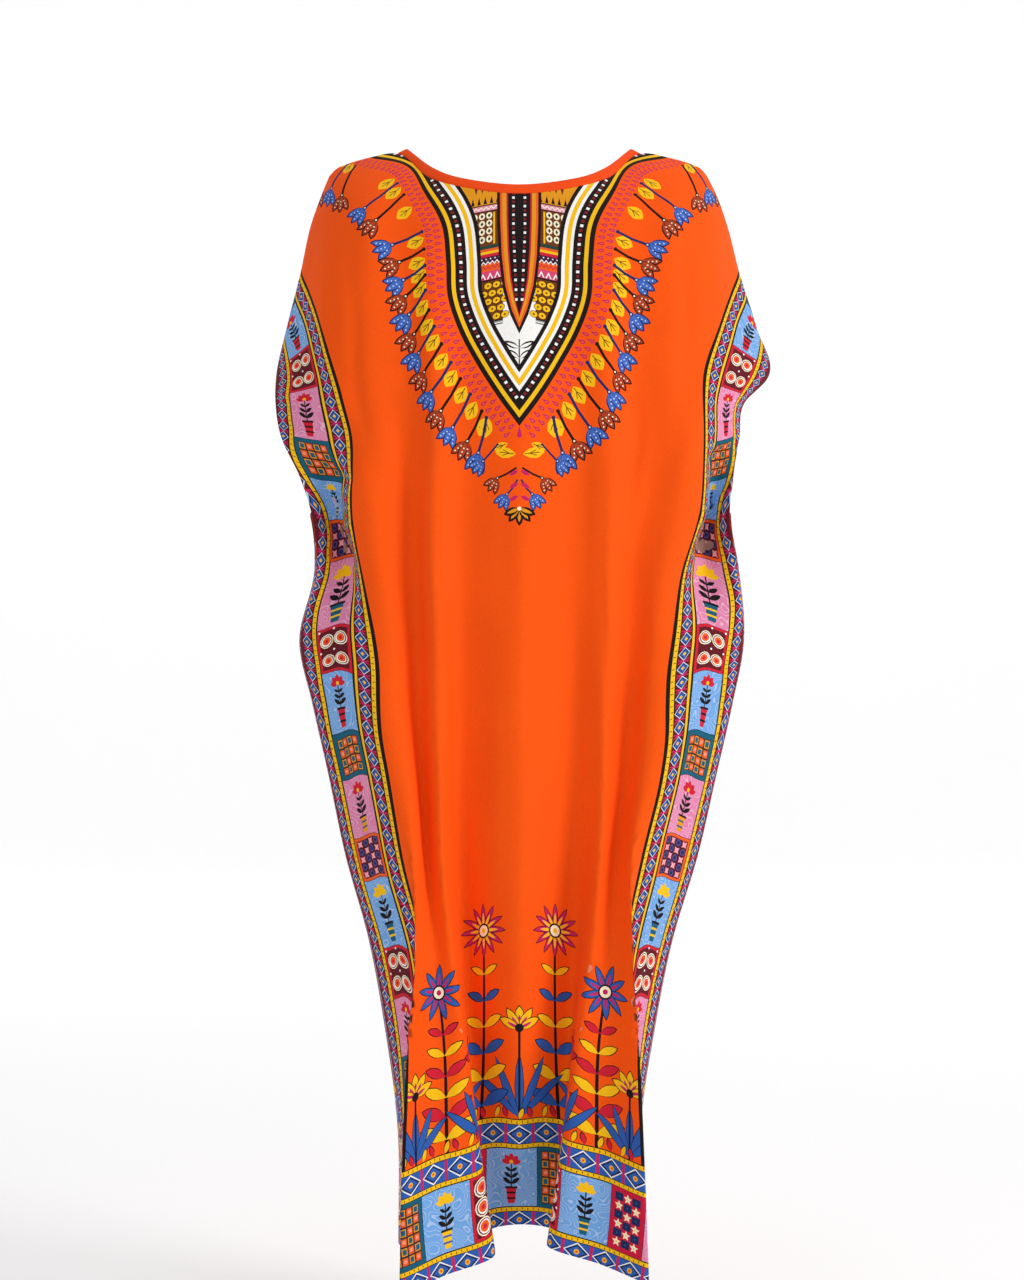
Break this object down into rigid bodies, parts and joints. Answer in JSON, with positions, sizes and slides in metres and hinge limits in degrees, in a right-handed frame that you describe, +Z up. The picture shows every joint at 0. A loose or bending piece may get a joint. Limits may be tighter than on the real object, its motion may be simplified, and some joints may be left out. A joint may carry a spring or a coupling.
{
  "type": "kaftan dress",
  "caption": "Loose ankle-length kaftan dress with wide short sleeves, round bound neck, open hem and soft upright folds, hollow and standing as worn.",
  "frame": {"origin": "midway between the shoulder tips, at the height where a wearer's shoulders carry the cloth", "axes": "+Z up, the front of the dress faces -Y, +X is to the right of someone looking at the front"},
  "size_m": [0.5653, 0.311, 1.2674],
  "materials": {
    "printed_cloth": "soft plain weave with a printed border and yoke",
    "plain_binding": "plain weave"
  },
  "bodies": {
    "root": {"front_panel": "printed_cloth", "back_panel": "printed_cloth", "neck_binding": "plain_binding"}
  },
  "joints": []
}
